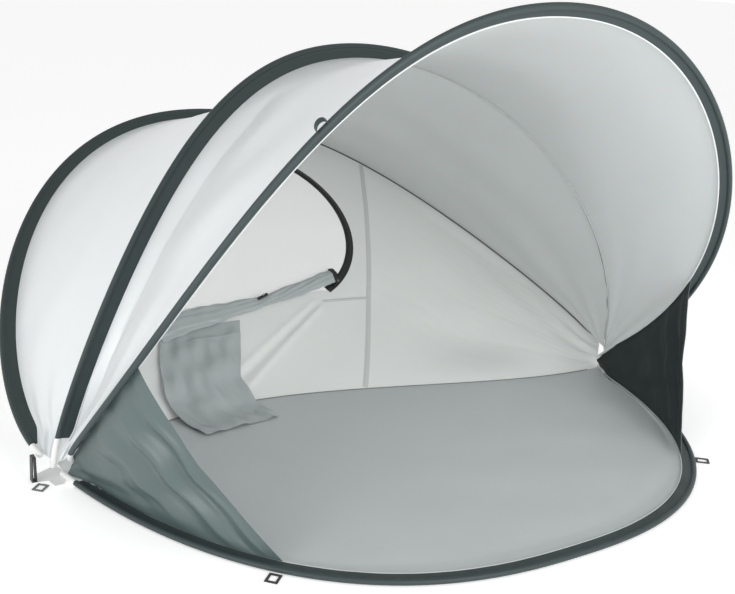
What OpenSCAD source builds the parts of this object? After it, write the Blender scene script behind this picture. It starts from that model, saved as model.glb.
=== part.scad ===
// Pop-up beach shelter: four sprung hoops that fan out from two ground corners.
// X runs from the left corner to the right one, Y from the mouth to the back, Z up.
// The origin is on the ground, halfway between the corners.
// Each hoop is a flat D curve of the same kind, tilted about the line between the
// corners and bowed out of its plane by the pull of the cloth.

/* [Floor hoop] */
// Half width of the floor hoop at its feet
floor_foot_x = 925; // [900:1:930]
// Reach of the floor hoop from its feet to its front
floor_rise = 895; // [800:5:950]
// Outward lean of the floor hoop at its feet, in degrees
floor_lean = -10; // [-15:1:0]
// Strength of the floor hoop's curve at its feet
floor_foot_pull = 900; // [800:10:950]
// Strength of the floor hoop's curve at its front
floor_top_pull = 240; // [200:10:400]
// Width of the floor hoop's sleeve
floor_band = 39; // [30:1:50]

/* [Front hoop] */
// Tilt of the front hoop from the ground in front, in degrees
front_tilt = 61; // [58:1:64]
// Half width of the front hoop at its feet
front_foot_x = 894; // [890:1:898]
// Height of the front hoop's feet
front_foot_z = 37; // [34:1:40]
// Length of the front hoop from its feet to its top
front_rise = 1345; // [1300:5:1390]
// Outward lean of the front hoop at its feet, in degrees
front_lean = 42; // [30:1:45]
// Strength of the front hoop's curve at its feet
front_foot_pull = 196; // [150:1:240]
// Strength of the front hoop's curve at its top
front_top_pull = 870; // [800:5:900]
// Bow of the front hoop out of its plane, towards the mouth
front_bow = -162; // [-170:1:-120]
// Width of the front hoop's sleeve
front_band = 36; // [30:1:45]
// Slant of the front sleeve towards the back, in degrees
front_slant = 28; // [0:1:35]

/* [Middle hoop] */
// Tilt of the middle hoop from the ground in front, in degrees
mid_tilt = 101; // [99:1:103]
// Half width of the middle hoop at its feet
mid_foot_x = 948; // [946:1:950]
// Height of the middle hoop's feet
mid_foot_z = 27; // [25:1:30]
// Length of the middle hoop from its feet to its top
mid_rise = 1040; // [1000:5:1080]
// Outward lean of the middle hoop at its feet, in degrees
mid_lean = 4; // [0:1:8]
// Strength of the middle hoop's curve at its feet
mid_foot_pull = 232; // [200:1:260]
// Strength of the middle hoop's curve at its top
mid_top_pull = 636; // [600:2:700]
// Bow of the middle hoop out of its plane, towards the mouth
mid_bow = -150; // [-160:1:-120]
// Width of the middle hoop's sleeve
mid_band = 46; // [30:1:55]

/* [Rear hoop] */
// Tilt of the rear hoop from the ground in front, in degrees
rear_tilt = 153; // [151:1:155]
// Half width of the rear hoop at its feet
rear_foot_x = 974; // [970:1:978]
// Height of the rear hoop's feet
rear_foot_z = 62; // [58:1:66]
// Length of the rear hoop from its feet to its top
rear_rise = 1423; // [1380:1:1460]
// Outward lean of the rear hoop at its feet, in degrees
rear_lean = 20; // [16:1:24]
// Strength of the rear hoop's curve at its feet
rear_foot_pull = 296; // [260:1:320]
// Strength of the rear hoop's curve at its top
rear_top_pull = 782; // [740:2:820]
// Bow of the rear hoop out of its plane, upwards
rear_bow = 55; // [30:1:60]
// Width of the rear hoop's sleeve
rear_band = 48; // [40:1:70]

/* [Rods and sleeves] */
// Radius of the sprung rods
rod_r = 3; // [2.5:0.25:3.5]
// Thickness of one layer of sleeve cloth in this model
sleeve_skin = 0.8; // [0.6:0.1:1]
// Length of the white pocket that ends each sleeve at a corner
pocket_length = 64; // [56:2:80]
// Length of the ferrules that join the rods
ferrule_length = 60; // [50:5:70]

/* [Cloth] */
// Thickness of the cloth panels in this model
cloth = 1; // [0.8:0.1:1.5]
// How far the roof strips sink between the hoops, as a share of their height
roof_sag = 0.035; // [0:0.005:0.05]
// How far the seam between floor and back wall lies behind the corners
seam_depth = 190; // [150:5:200]
// How much deeper that seam lies on the left than in the middle
seam_skew = 200; // [0:10:220]

/* [Window] */
// Radius of the window's two upper corners
window_r = 366; // [300:2:370]
// Distance up the back wall from the seam to the window's sill
sill_up = 385; // [370:5:420]
// Distance up the back wall to the centres of the window's corners
window_centre_up = 715; // [700:5:720]
// Distance from the middle to the centre of the window's left corner
window_left = 240; // [100:10:260]
// Width of the zip and its tape
zip_width = 27; // [20:1:32]

/* [Webbing] */
// Width of the webbing round the eye of a peg loop
loop_band = 12; // [10:1:14]
// Clear width of the eye of a peg loop
eye_width = 18; // [14:1:22]
// Clear length of the eye of a peg loop
eye_length = 24; // [18:1:28]

/* [Hidden] */

$fn = 32;
hoop_steps = 44;
cloth_steps = 40;
rod_sides = 8;

// A hoop is [tilt, foot_x, foot_z, rise, lean, foot_pull, top_pull, bow, band, slant].
floor_z = 7.5;
floor_hoop = [0, floor_foot_x, floor_z, floor_rise, floor_lean, floor_foot_pull, floor_top_pull,
    0, floor_band, 0];
front_hoop = [front_tilt, front_foot_x, front_foot_z, front_rise, front_lean, front_foot_pull,
    front_top_pull, front_bow, front_band, front_slant];
mid_hoop = [mid_tilt, mid_foot_x, mid_foot_z, mid_rise, mid_lean, mid_foot_pull, mid_top_pull,
    mid_bow, mid_band, 0];
rear_hoop = [rear_tilt, rear_foot_x, rear_foot_z, rear_rise, rear_lean, rear_foot_pull,
    rear_top_pull, rear_bow, rear_band, 0];

function tilt(h) = h[0];
function foot_x(h) = h[1];
function foot_z(h) = h[2];
function rise(h) = h[3];
function lean(h) = h[4];
function foot_pull(h) = h[5];
function top_pull(h) = h[6];
function bow(h) = h[7];
function band(h) = h[8];
function slant(h) = h[9];

function mix(a, b, s) = a * (1 - s) + b * s;
function clamp(v) = min(1, max(0, v));
function smooth(v) = let (c = clamp(v)) c * c * (3 - 2 * c);
function unit(v) = v / norm(v);

// The four control points of half a hoop in its own plane, from the foot to the top.
function controls(h) = [
    [foot_x(h), 0],
    [foot_x(h) + foot_pull(h) * sin(lean(h)), foot_pull(h) * cos(lean(h))],
    [top_pull(h), rise(h)],
    [0, rise(h)]
];
function curve(p, t) = pow(1 - t, 3) * p[0] + 3 * pow(1 - t, 2) * t * p[1]
    + 3 * (1 - t) * t * t * p[2] + pow(t, 3) * p[3];
function heading(p, t) = unit(pow(1 - t, 2) * (p[1] - p[0]) + 2 * (1 - t) * t * (p[2] - p[1])
    + t * t * (p[3] - p[2]));

// A point of a hoop. u runs from -1 at the left foot through 0 at the top to 1 at the right
// foot, inset goes from the outer edge towards the inside, and lift goes out of the plane.
function hoop_point(h, u, inset = 0, lift = 0) =
    let (p = controls(h), t = 1 - abs(u), d = heading(p, t))
    let (q = curve(p, t) + inset * [-d[1], d[0]], f = clamp(q[1] / rise(h)))
    let (b = lift + 4 * bow(h) * f * (1 - f))
    [(u < 0 ? -1 : 1) * q[0], -q[1] * cos(tilt(h)) + b * sin(tilt(h)),
        foot_z(h) + q[1] * sin(tilt(h)) + b * cos(tilt(h))];

// How far along u a length from the foot reaches: the curve leaves its foot at three pulls.
function u_at(h, length) = 1 - length / (3 * foot_pull(h));
function spread(a, b, n) = [for (k = [0 : n]) mix(a, b, k / n)];

// The sleeve is a folded strip: a tube round the rod, and a flat fin towards the inside.
tube_r = 6.9;
tube_arc = 128;
tube_steps = 6;
fin_gap = 0.9;
rod_inset = tube_r + sleeve_skin / 2;
taper_length = 250;

function fin_width(h, u) = mix(2 * rod_inset, band(h),
    smooth(curve(controls(h), 1 - abs(u))[1] / taper_length));
function turned(v, a) = [v[0] * cos(a) - v[1] * sin(a), v[0] * sin(a) + v[1] * cos(a)];
function fold(width) = concat(
    [[width - rod_inset, fin_gap]],
    [for (a = spread(180 - tube_arc, 180 + tube_arc, tube_steps)) tube_r * [cos(a), sin(a)]],
    [[width - rod_inset, -fin_gap]]);
function sleeve_ring(h, u) = [for (q = fold(fin_width(h, u)))
    let (v = turned(q, slant(h))) hoop_point(h, u, rod_inset + v[0], v[1])];
// A point on the fin's inner edge, or past it by gap, and to one side of it by lift.
function fin_edge(h, u, gap, lift) =
    let (v = turned([fin_width(h, u) - rod_inset + gap, lift], slant(h)))
    hoop_point(h, u, rod_inset + v[0], v[1]);

// A closed solid of even thickness on a grid of points.
function grid_normal(g, i, j) =
    let (n = len(g) - 1, m = len(g[0]) - 1)
    unit(cross(g[min(i + 1, n)][j] - g[max(i - 1, 0)][j],
        g[i][min(j + 1, m)] - g[i][max(j - 1, 0)]));
function quad(a, b, c, d) = [[a, b, c], [a, c, d]];
module skin(g, thick) {
    n = len(g);
    m = len(g[0]);
    under = n * m;
    sides = [-thick / 2, thick / 2];
    points = [for (side = sides) for (i = [0 : n - 1]) for (j = [0 : m - 1])
        g[i][j] + side * grid_normal(g, i, j)];
    low = [for (i = [0 : n - 2]) for (j = [0 : m - 2]) each
        quad(i * m + j, i * m + j + 1, (i + 1) * m + j + 1, (i + 1) * m + j)];
    high = [for (f = low) [f[2] + under, f[1] + under, f[0] + under]];
    row_ends = [for (i = [0 : n - 2]) each concat(
        quad(i * m, (i + 1) * m, (i + 1) * m + under, i * m + under),
        quad((i + 2) * m - 1, (i + 1) * m - 1, (i + 1) * m - 1 + under, (i + 2) * m - 1 + under))];
    last = (n - 1) * m;
    column_ends = [for (j = [0 : m - 2]) each concat(
        quad(j + 1, j, j + under, j + 1 + under),
        quad(last + j, last + j + 1, last + j + 1 + under, last + j + under))];
    polyhedron(points, concat(low, high, row_ends, column_ends));
}

// A closed tube through a list of rings with the same number of points.
module tube(rings) {
    n = len(rings);
    m = len(rings[0]);
    walls = [for (i = [0 : n - 2]) for (j = [0 : m - 1]) each
        quad(i * m + j, i * m + (j + 1) % m, (i + 1) * m + (j + 1) % m, (i + 1) * m + j)];
    first = [for (j = [1 : m - 2]) [0, j + 1, j]];
    last = [for (j = [1 : m - 2]) [(n - 1) * m, (n - 1) * m + j, (n - 1) * m + j + 1]];
    polyhedron([for (r = rings) each r], concat(walls, first, last));
}
function round_ring(h, u, inset, r, sides, lift = 0) = [for (k = [0 : sides - 1])
    let (a = -360 * k / sides) hoop_point(h, u, inset + r * cos(a), lift + r * sin(a))];

// Puts a child's Z axis along the way from a to b, starting at a.
module along(a, b) {
    d = b - a;
    translate(a) rotate([0, acos(d[2] / norm(d)), atan2(d[1], d[0])]) children();
}

/* Parts that every hoop has */
rod_start = 12;
tip_start = 6;
tip_length = 30;
tip_wall = 4;
bore_r = rod_r + 0.9;
ferrule_r = bore_r + 0.9;
ferrule_step = 11;

// A rod's rings: one at its end, one just past its tip, and the rest evenly.
function rod_us(h) = let (far = u_at(h, rod_start), near = u_at(h, tip_start + tip_length + 2))
    concat([-far], spread(-near, near, hoop_steps), [far]);
module hoop_rod(h) {
    color("#3a3f42")
        tube([for (u = rod_us(h)) round_ring(h, u, rod_inset, rod_r, rod_sides)]);
}
module hoop_ferrules(h) {
    us = rod_us(h);
    color("silver")
        for (k = [ferrule_step, len(us) - ferrule_step - 2]) {
            a = hoop_point(h, us[k], rod_inset);
            b = hoop_point(h, us[k + 1], rod_inset);
            along((a + b) / 2, b)
                difference() {
                    cylinder(r = ferrule_r, h = ferrule_length, center = true);
                    cylinder(r = bore_r, h = ferrule_length + 2, center = true);
                }
        }
}
module hoop_tips(h) {
    color("#26292b")
        for (side = [-1, 1])
            along(hoop_point(h, side * u_at(h, tip_start), rod_inset),
                hoop_point(h, side * u_at(h, tip_start + tip_length), rod_inset))
                difference() {
                    cylinder(r = ferrule_r, h = tip_length);
                    translate([0, 0, tip_wall]) cylinder(r = bore_r, h = tip_length);
                }
}
module hoop_sleeve(h) {
    far = u_at(h, pocket_length + 2);
    color("#3f4d4e")
        skin([for (u = spread(-far, far, hoop_steps)) sleeve_ring(h, u)], sleeve_skin);
}
pocket_steps = 4;
module hoop_end_pockets(h) {
    color("#e9ecea")
        for (side = [-1, 1])
            skin([for (length = side < 0 ? spread(4, pocket_length, pocket_steps)
                    : spread(pocket_length, 4, pocket_steps)) sleeve_ring(h, side * u_at(h, length))],
                sleeve_skin);
}

module floor_rod() { hoop_rod(floor_hoop); }
module floor_rod_ferrules() { hoop_ferrules(floor_hoop); }
module floor_rod_tips() { hoop_tips(floor_hoop); }
module floor_sleeve() { hoop_sleeve(floor_hoop); }
module floor_end_pockets() { hoop_end_pockets(floor_hoop); }
module front_rod() { hoop_rod(front_hoop); }
module front_rod_ferrules() { hoop_ferrules(front_hoop); }
module front_rod_tips() { hoop_tips(front_hoop); }
module front_sleeve() { hoop_sleeve(front_hoop); }
module front_end_pockets() { hoop_end_pockets(front_hoop); }
module mid_rod() { hoop_rod(mid_hoop); }
module mid_rod_ferrules() { hoop_ferrules(mid_hoop); }
module mid_rod_tips() { hoop_tips(mid_hoop); }
module mid_sleeve() { hoop_sleeve(mid_hoop); }
module mid_end_pockets() { hoop_end_pockets(mid_hoop); }
module rear_rod() { hoop_rod(rear_hoop); }
module rear_rod_ferrules() { hoop_ferrules(rear_hoop); }
module rear_rod_tips() { hoop_tips(rear_hoop); }
module rear_sleeve() { hoop_sleeve(rear_hoop); }
module rear_end_pockets() { hoop_end_pockets(rear_hoop); }

/* Cloth */
edge_gap = 2;
edge_lift = 3.4;
roof_rows = 6;
roof_end = 60;

// A point of a roof strip: s runs from one hoop to the other, and the strip sinks between them.
function sunk(p, s) = let (k = 1 - roof_sag * 4 * s * (1 - s)) [p[0], p[1] * k, p[2] * k];
function roof_point(front, back, u, s) = sunk(mix(
    fin_edge(front, u * u_at(front, roof_end), edge_gap, edge_lift),
    fin_edge(back, u * u_at(back, roof_end), edge_gap, -edge_lift), s), s);
module roof(front, back) {
    color("#dfe4e4")
        skin([for (u = spread(-1, 1, cloth_steps)) [for (s = spread(0, 1, roof_rows))
            roof_point(front, back, u, s)]], cloth);
}
module roof_front() { roof(front_hoop, mid_hoop); }
module roof_rear() { roof(mid_hoop, rear_hoop); }

// The seam between floor and back wall, on the ground. It isn't pulled out square.
seam_x = 900;
function seam_y(x) = let (k = x / seam_x) (seam_depth - seam_skew * k) * (1 - k * k);

sheet_steps = 36;
sheet_gap = 1.5;
module floor_sheet() {
    edge = [for (u = spread(-u_at(floor_hoop, roof_end), u_at(floor_hoop, roof_end), sheet_steps))
        hoop_point(floor_hoop, u, fin_width(floor_hoop, u) + sheet_gap)];
    seam = [for (x = spread(seam_x - 10, 10 - seam_x, sheet_steps)) [x, seam_y(x)]];
    color("#c6cccc")
        linear_extrude(height = cloth)
        polygon(concat([for (p = edge) [p[0], p[1]]], seam));
}

// The back wall is a plane where the window is, and turns towards the corners at its ends.
wall_top = fin_edge(rear_hoop, 0, edge_gap, edge_lift);
wall_tilt = atan2(wall_top[2], wall_top[1] - seam_depth);
wall_normal = [0, -sin(wall_tilt), cos(wall_tilt)];
wall_base = 4;
wall_rows = 12;
flat_zone = 0.62;
flat_edge = 0.16;
function flattened(p, u, s) =
    let (away = (p - [0, seam_depth, wall_base]) * wall_normal)
    let (k = smooth((flat_zone + flat_edge - abs(u)) / flat_edge) * smooth(s / 0.25)
        * smooth((1 - s) / 0.06))
    p - away * k * wall_normal;
function wall_point(u, s) =
    let (foot = [u * seam_x, seam_y(u * seam_x) + wall_base, wall_base])
    flattened(mix(foot, fin_edge(rear_hoop, u * u_at(rear_hoop, roof_end), edge_gap, edge_lift), s),
        u, s);
// Puts a child on the back wall's plane: its Y goes up the wall, its Z into the shelter.
module on_wall(height = 0) {
    translate([0, seam_depth, wall_base] + height * wall_normal) rotate([wall_tilt, 0, 0]) children();
}

window_end = asin((window_centre_up - sill_up) / window_r);
arc_steps = 12;
// The window's upper edge, from the right end of its sill over the top to the left end.
function window_edge(grow) = concat(
    [for (a = spread(-window_end, 90, arc_steps))
        [(window_r + grow) * cos(a), window_centre_up + (window_r + grow) * sin(a)]],
    [for (a = spread(90, 180 + window_end, arc_steps))
        [(window_r + grow) * cos(a) - window_left, window_centre_up + (window_r + grow) * sin(a)]]);

module back_wall() {
    color("#cfd4d3")
        difference() {
            skin([for (u = spread(-0.97, 0.97, cloth_steps)) [for (s = spread(0, 1, wall_rows))
                wall_point(u, s)]], cloth);
            on_wall(-15) linear_extrude(height = 30) polygon(window_edge(0));
        }
}
module window_mesh() {
    color("#e4e6e5")
        on_wall(-cloth / 2) linear_extrude(height = cloth) polygon(window_edge(-0.6));
}
zip_height = 1.6;
module window_zip() {
    low = window_edge(-zip_width / 2);
    high = window_edge(zip_width / 2);
    last = len(high) - 1;
    color("#1c1e1f")
        on_wall(cloth / 2) linear_extrude(height = zip_height)
        polygon(concat(high, [for (k = [0 : last]) low[last - k]]));
}

// The zip's slider runs along the right-hand arc, and its puller lies on the cloth.
slider_size = [13, 20, 7];
slider_angle = 6 - window_end;
module at_slider() {
    on_wall(cloth / 2 + zip_height + 0.4)
        translate([0, window_centre_up, 0]) rotate([0, 0, slider_angle])
        translate([window_r, 0, 0]) children();
}
puller_pin = 1.2;
puller_up = slider_size[2] - 2.5;
module zip_slider() {
    color("#141515")
        at_slider() difference() {
            translate([-slider_size[0] / 2, -slider_size[1] / 2, 0]) cube(slider_size);
            translate([0, 0, puller_up]) rotate([0, 90, 0])
                cylinder(r = puller_pin + 0.4, h = slider_size[0] + 2, center = true);
            translate([-3.5, -6, puller_up - 3]) cube([7, 20, 10]);
        }
}
puller_length = 34;
module zip_puller() {
    color("#141515")
        at_slider() translate([0, 0, puller_up]) difference() {
            union() {
                rotate([0, 90, 0]) cylinder(r = puller_pin, h = slider_size[0] - 1, center = true);
                translate([-2.5, 0, 0]) cube([5, 15, 1.2]);
                translate([-5, 14, 0]) cube([10, puller_length - 14, 1.2]);
            }
            translate([0, puller_length - 5, -1]) cylinder(r = 2, h = 4);
        }
}

// The cover is rolled down onto the sill, and lies on the wall above it.
cover_right = 170;
cover_left = -470;
cover_high = 17;
cover_wide = 34;
cover_turn = 4;
cover_rest = 2.4;
module window_cover() {
    oval = [for (a = spread(0, 360 - 20, 17)) [cover_wide / 2 * cos(a), cover_high * (1 + sin(a)) / 2]];
    color("#c9cfd0")
        on_wall(cloth / 2 + cover_rest) translate([cover_right, sill_up - cover_wide / 2, 0])
        rotate([0, 0, cover_turn]) rotate([90, 0, -90])
        linear_extrude(height = cover_right - cover_left) polygon(oval);
}

// The pocket hangs from the cover down the wall, and its lower end lies on the floor.
pocket_left = -475;
pocket_width = 245;
pocket_top_up = 298;
pocket_reach = 105;
pocket_clear = 3;
module wall_pocket() {
    top = [seam_depth, wall_base] + turned([pocket_top_up, pocket_clear], wall_tilt);
    bend = [seam_depth - 4, cloth + pocket_clear];
    path = [top, bend + [6, 4], bend, [seam_depth - pocket_reach, cloth + 1]];
    color("#bfc6c7")
        translate([pocket_left, 0, 0]) rotate([90, 0, 90]) linear_extrude(height = pocket_width)
        polygon(concat(path, [for (k = [3, 2, 1, 0]) path[k] + [-0.5, 1.6]]));
}

// Toggles that hold the rolled cover, each on a short cord loop.
toggle_r = 5;
toggle_length = 38;
toggle_x = [-478, -96];
toggle_up = [345, 374];
toggle_turn = [70, 20];
toggle_height = cover_high + 9.5;
module toggle(k) {
    color("#1b1c1d")
        on_wall(toggle_height) translate([toggle_x[k], toggle_up[k], 0]) rotate([0, 0, toggle_turn[k]])
        difference() {
            rotate([0, 90, 0]) cylinder(r = toggle_r, h = toggle_length, center = true);
            cylinder(r = 1.6, h = 20, center = true);
        }
}
module toggle_left() { toggle(0); }
module toggle_middle() { toggle(1); }
module toggle_loops() {
    color("#2b2d2e")
        for (k = [0, 1])
            on_wall(cloth / 2) translate([toggle_x[k], toggle_up[k], 0]) {
                cylinder(r = 1.2, h = toggle_height + toggle_r + 3);
                translate([0, 0, toggle_height + toggle_r + 3.6]) sphere(r = 3);
            }
}

// Side wings fill the low part of the mouth, between floor hoop and front hoop.
wing_floor_u = 0.65;
wing_front_u = 0.61;
wing_hollow = 0.05;
wing_steps = 12;
wing_rows = 8;
wing_start = 0.05;
function wing_point(side, v, s) =
    let (w = v * (1 - wing_hollow * 4 * s * (1 - s) * v))
    let (low = hoop_point(floor_hoop, side * mix(1, wing_floor_u, w),
        fin_width(floor_hoop, mix(1, wing_floor_u, w)) - 10, 9))
    let (high = fin_edge(front_hoop, side * mix(1, wing_front_u, w), edge_gap, -edge_lift))
    mix(low + [0, 0, 3], high, s);
module wing(side) {
    vs = side < 0 ? spread(wing_start, 1, wing_steps) : spread(1, wing_start, wing_steps);
    color("#46555a")
        skin([for (v = vs) [for (s = spread(0.02, 1, wing_rows)) wing_point(side, v, s)]], cloth);
}
module wing_left() { wing(-1); }
module wing_right() { wing(1); }

/* Trim and webbing */
piping_r = 1.6;
module front_piping() {
    far = u_at(front_hoop, pocket_length + 2);
    reach = piping_r + 0.8;
    color("#f2f4f4")
        tube([for (u = spread(-far, far, hoop_steps)) [for (k = [0 : 5])
            fin_edge(front_hoop, u, reach + piping_r * cos(60 * k), -piping_r * sin(60 * k))]]);
}

// A half-round webbing loop on the outside of the front hoop, to tie a line to.
guy_u = -0.28;
guy_r = 14;
guy_width = 12;
guy_thick = 1.6;
guy_clear = 1.2;
module guy_loop() {
    run = 500 * norm(hoop_point(front_hoop, guy_u + 0.001)
        - hoop_point(front_hoop, guy_u - 0.001));
    color("#3a4546")
        tube([for (a = spread(0, 180, 14)) [for (q = [[0, -1], [0, 1], [1, 1], [1, -1]])
            let (r = guy_r + guy_thick * q[0])
            hoop_point(front_hoop, guy_u + r * cos(a) / run,
                -guy_clear - r * sin(a), guy_width / 2 * q[1])]]);
}

// A white reinforcement patch under each corner, and the black strap sewn round it.
patch_length = 96;
patch_width = 62;
module corner_patch(side) {
    color("#eceeed")
        translate([side * (foot_x(floor_hoop) + 22), 0, 0]) linear_extrude(height = 1.6)
        polygon([[side * 10, -14], [side * 46, -10], [side * 46, 26], [side * -30, patch_width],
            [side * -50, 8], [side * -20, -patch_length / 2], [side * 4, -patch_length / 2]]);
}
module corner_patch_left() { corner_patch(-1); }
module corner_patch_right() { corner_patch(1); }

strap_x = 990;
strap_high = 70;
strap_wide = 20;
module corner_strap(side) {
    color("#17191a")
        translate([side * strap_x, 0, 0]) rotate([90, 0, 0])
        linear_extrude(height = strap_wide, center = true)
        difference() {
            polygon([[side * -6, 1.7], [side * 7, 1.7], [side * 6, strap_high],
                [side * -4, strap_high]]);
            polygon([[side * -3.5, 4], [side * 4.5, 4], [side * 3.5, strap_high - 2.5],
                [side * -1.5, strap_high - 2.5]]);
        }
}
module corner_strap_left() { corner_strap(-1); }
module corner_strap_right() { corner_strap(1); }

// A peg loop is a flat ring of webbing, sewn down at one end and free to fold up.
loop_thick = 2;
module peg_loop(place, way) {
    long = eye_length + loop_band;
    wide = eye_width + loop_band;
    color("#202223")
        translate([place[0], place[1], 0]) rotate([0, 0, way])
        linear_extrude(height = loop_thick)
        difference() {
            translate([0, -wide / 2]) square([long, wide]);
            translate([loop_band / 2, -eye_width / 2]) square([eye_length, eye_width]);
        }
}
corner_loop_at = [973, -27];
corner_loop_way = -45;
front_loop_at = hoop_point(floor_hoop, wing_floor_u, -3);
front_loop_out = front_loop_at - hoop_point(floor_hoop, wing_floor_u, 10);
front_loop_way = atan2(front_loop_out[1], front_loop_out[0]);
module corner_peg_loop_left() { mirror([1, 0, 0]) peg_loop(corner_loop_at, corner_loop_way); }
module corner_peg_loop_right() { peg_loop(corner_loop_at, corner_loop_way); }
module front_peg_loop_left() { mirror([1, 0, 0]) peg_loop(front_loop_at, front_loop_way); }
module front_peg_loop_right() { peg_loop(front_loop_at, front_loop_way); }

floor_rod();
floor_rod_ferrules();
floor_rod_tips();
floor_sleeve();
floor_end_pockets();
front_rod();
front_rod_ferrules();
front_rod_tips();
front_sleeve();
front_end_pockets();
mid_rod();
mid_rod_ferrules();
mid_rod_tips();
mid_sleeve();
mid_end_pockets();
rear_rod();
rear_rod_ferrules();
rear_rod_tips();
rear_sleeve();
rear_end_pockets();
floor_sheet();
back_wall();
roof_front();
roof_rear();
wing_left();
wing_right();
window_mesh();
window_zip();
window_cover();
zip_slider();
zip_puller();
wall_pocket();
toggle_left();
toggle_middle();
toggle_loops();
front_piping();
guy_loop();
corner_patch_left();
corner_patch_right();
corner_strap_left();
corner_strap_right();
corner_peg_loop_left();
corner_peg_loop_right();
front_peg_loop_left();
front_peg_loop_right();
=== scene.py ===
"""Looks for the pop-up beach shelter: cloth panels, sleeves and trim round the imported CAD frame."""

import math

import bpy
import numpy as np
from mathutils import Matrix, Vector


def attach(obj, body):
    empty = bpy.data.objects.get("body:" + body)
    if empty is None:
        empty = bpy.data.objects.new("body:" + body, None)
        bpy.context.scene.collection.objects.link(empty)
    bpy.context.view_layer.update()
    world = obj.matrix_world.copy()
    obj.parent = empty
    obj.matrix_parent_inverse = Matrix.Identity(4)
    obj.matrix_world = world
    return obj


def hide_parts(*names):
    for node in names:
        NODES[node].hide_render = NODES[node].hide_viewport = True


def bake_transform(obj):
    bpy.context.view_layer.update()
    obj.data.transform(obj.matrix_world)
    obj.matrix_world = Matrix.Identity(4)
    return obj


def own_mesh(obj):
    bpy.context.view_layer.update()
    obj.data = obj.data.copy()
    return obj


MM = 0.001
SCENE = bpy.context.scene


# ---------------------------------------------------------------- camera
def make_camera():
    """The camera stands at the left front and looks down a little."""
    yaw, pitch, roll = 0.5464, 0.2976, 0.0454
    forward = Vector(
        (math.sin(yaw) * math.cos(pitch), math.cos(yaw) * math.cos(pitch), -math.sin(pitch))
    )
    right = Vector((math.cos(yaw), -math.sin(yaw), 0))
    up = right.cross(forward)
    turned_right = math.cos(roll) * right + math.sin(roll) * up
    turned_up = math.cos(roll) * up - math.sin(roll) * right
    data = bpy.data.cameras.new("camera")
    data.sensor_width = 36
    data.lens = 54.98
    data.shift_x = 0.0659
    data.shift_y = -0.0127
    data.clip_end = 100
    cam = bpy.data.objects.new("camera", data)
    SCENE.collection.objects.link(cam)
    axes = Matrix((turned_right, turned_up, -forward)).transposed().to_4x4()
    cam.matrix_world = Matrix.Translation((-1.7130, -2.5118, 1.3116)) @ axes
    SCENE.camera = cam


make_camera()
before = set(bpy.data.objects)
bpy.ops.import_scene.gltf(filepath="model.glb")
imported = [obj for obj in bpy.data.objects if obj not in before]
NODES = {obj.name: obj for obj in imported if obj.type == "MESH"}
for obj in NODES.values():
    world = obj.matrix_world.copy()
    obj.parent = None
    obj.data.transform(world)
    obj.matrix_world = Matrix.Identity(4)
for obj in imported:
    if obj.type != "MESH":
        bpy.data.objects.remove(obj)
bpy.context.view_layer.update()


# ---------------------------------------------------------------- small helpers
def smooth(v):
    c = np.clip(v, 0, 1)
    return c * c * (3 - 2 * c)


def mix(a, b, s):
    return a + (b - a) * s


def waves(x, y, seed, count, low, high, direction=None, spread=0.35):
    """A smooth sum of plane waves, about -1 to 1. Wavelengths run from low to high."""
    rng = np.random.default_rng(seed)
    total = np.zeros(np.broadcast(x, y).shape)
    for _ in range(count):
        length = rng.uniform(low, high)
        angle = (
            rng.uniform(0, 2 * math.pi)
            if direction is None
            else math.radians(direction) + rng.normal(0, spread)
        )
        k = 2 * math.pi / length
        phase = rng.uniform(0, 2 * math.pi)
        total = total + np.sin(k * (x * math.cos(angle) + y * math.sin(angle)) + phase)
    return total / math.sqrt(count)


# ---------------------------------------------------------------- hoops
class Hoop:
    """One hoop, in millimetres, from the same formulas as the CAD."""

    def __init__(self, tilt, foot_x, foot_z, rise, lean, foot_pull, top_pull, bow, band, slant):
        self.tilt, self.slant = math.radians(tilt), math.radians(slant)
        self.foot_z, self.rise, self.bow, self.band = foot_z, rise, bow, band
        self.foot_pull = foot_pull
        turn = math.radians(lean)
        self.p = np.array(
            [
                (foot_x, 0),
                (foot_x + foot_pull * math.sin(turn), foot_pull * math.cos(turn)),
                (top_pull, rise),
                (0, rise),
            ],
            float,
        )

    def curve(self, u):
        t = (1 - np.abs(u))[..., None]
        p = self.p
        return (
            (1 - t) ** 3 * p[0]
            + 3 * (1 - t) ** 2 * t * p[1]
            + 3 * (1 - t) * t**2 * p[2]
            + t**3 * p[3]
        )

    def heading(self, u):
        t = (1 - np.abs(u))[..., None]
        p = self.p
        d = (1 - t) ** 2 * (p[1] - p[0]) + 2 * (1 - t) * t * (p[2] - p[1]) + t**2 * (p[3] - p[2])
        return d / np.linalg.norm(d, axis=-1, keepdims=True)

    def point(self, u, inset=0.0, lift=0.0):
        u, inset, lift = np.broadcast_arrays(
            np.asarray(u, float), np.asarray(inset, float), np.asarray(lift, float)
        )
        d = self.heading(u)
        q = self.curve(u) + inset[..., None] * np.stack([-d[..., 1], d[..., 0]], -1)
        f = np.clip(q[..., 1] / self.rise, 0, 1)
        b = lift + 4 * self.bow * f * (1 - f)
        c, s = math.cos(self.tilt), math.sin(self.tilt)
        side = np.where(u < 0, -1, 1)
        return np.stack(
            [side * q[..., 0], -q[..., 1] * c + b * s, self.foot_z + q[..., 1] * s + b * c], -1
        )

    def u_at(self, length):
        return 1 - length / (3 * self.foot_pull)

    def fin_width(self, u):
        return mix(2 * ROD_INSET, self.band, smooth(self.curve(u)[..., 1] / TAPER))

    def section(self, u, along, lift):
        """A point of the sleeve: along runs from the rod towards the inside."""
        c, s = math.cos(self.slant), math.sin(self.slant)
        return self.point(u, ROD_INSET + along * c - lift * s, along * s + lift * c)

    def fin_edge(self, u, gap=0.0, lift=0.0):
        return self.section(u, self.fin_width(np.asarray(u, float)) - ROD_INSET + gap, lift)


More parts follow.
